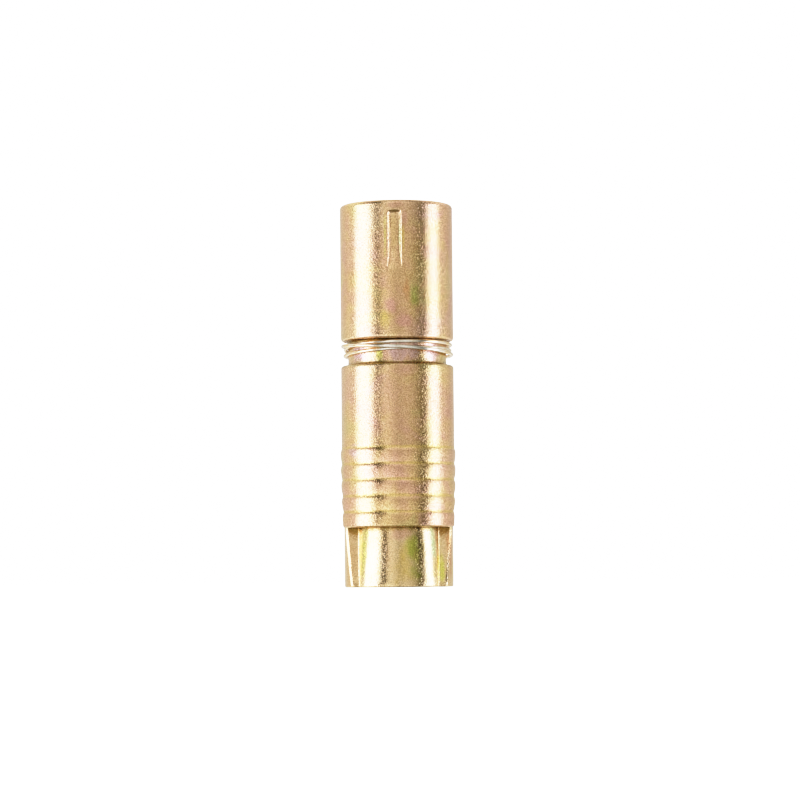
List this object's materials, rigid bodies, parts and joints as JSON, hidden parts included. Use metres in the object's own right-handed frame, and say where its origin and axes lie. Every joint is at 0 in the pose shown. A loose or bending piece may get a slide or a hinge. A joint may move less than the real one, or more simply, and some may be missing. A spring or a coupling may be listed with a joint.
{
  "type": "expansion anchor",
  "caption": "Split anchor sleeve with barbed bands, held at the neck by a wire ring. A bolt draws a winged, threaded wedge nut up inside it and spreads it against a drilled hole.",
  "frame": {"origin": "centre of the wedge nut's flat foot, on which the anchor stands", "axes": "+Z along the bolt's axis from the foot to the mouth of the sleeve, X across the split between the half shells and through both wings, -Y towards the front half shell"},
  "size_m": [0.016, 0.016, 0.0529],
  "materials": {
    "sleeve_plating": "yellow zinc plating with faint pink and green tints over fine pitted steel",
    "spring_wire": "bright drawn wire, thinly plated",
    "nut_plating": "smooth yellow zinc plating with a green tint"
  },
  "bodies": {
    "ring": {"wire_ring": "spring_wire"},
    "front_half": {"front_shell": "sleeve_plating"},
    "back_half": {"back_shell": "sleeve_plating"},
    "wedge": {"wedge_nut": "nut_plating"}
  },
  "joints": [
    {"name": "wedge_draw", "type": "slide", "parent": "ring", "child": "wedge", "axis": [0, 0, 1], "range_m": [0, 0.00245]},
    {"name": "front_half_rock", "type": "hinge", "parent": "ring", "child": "front_half", "pos_m": [0, 0, 0.03227], "axis": [-1, 0, 0], "range_deg": [0, 1.3]},
    {"name": "back_half_rock", "type": "hinge", "parent": "ring", "child": "back_half", "pos_m": [0, 0, 0.03227], "axis": [1, 0, 0], "range_deg": [0, 1.3]}
  ],
  "couplings": [
    {"joint": "front_half_rock", "follows": "wedge_draw", "rad_per_m": 9.132},
    {"joint": "back_half_rock", "follows": "wedge_draw", "rad_per_m": 9.132}
  ]
}
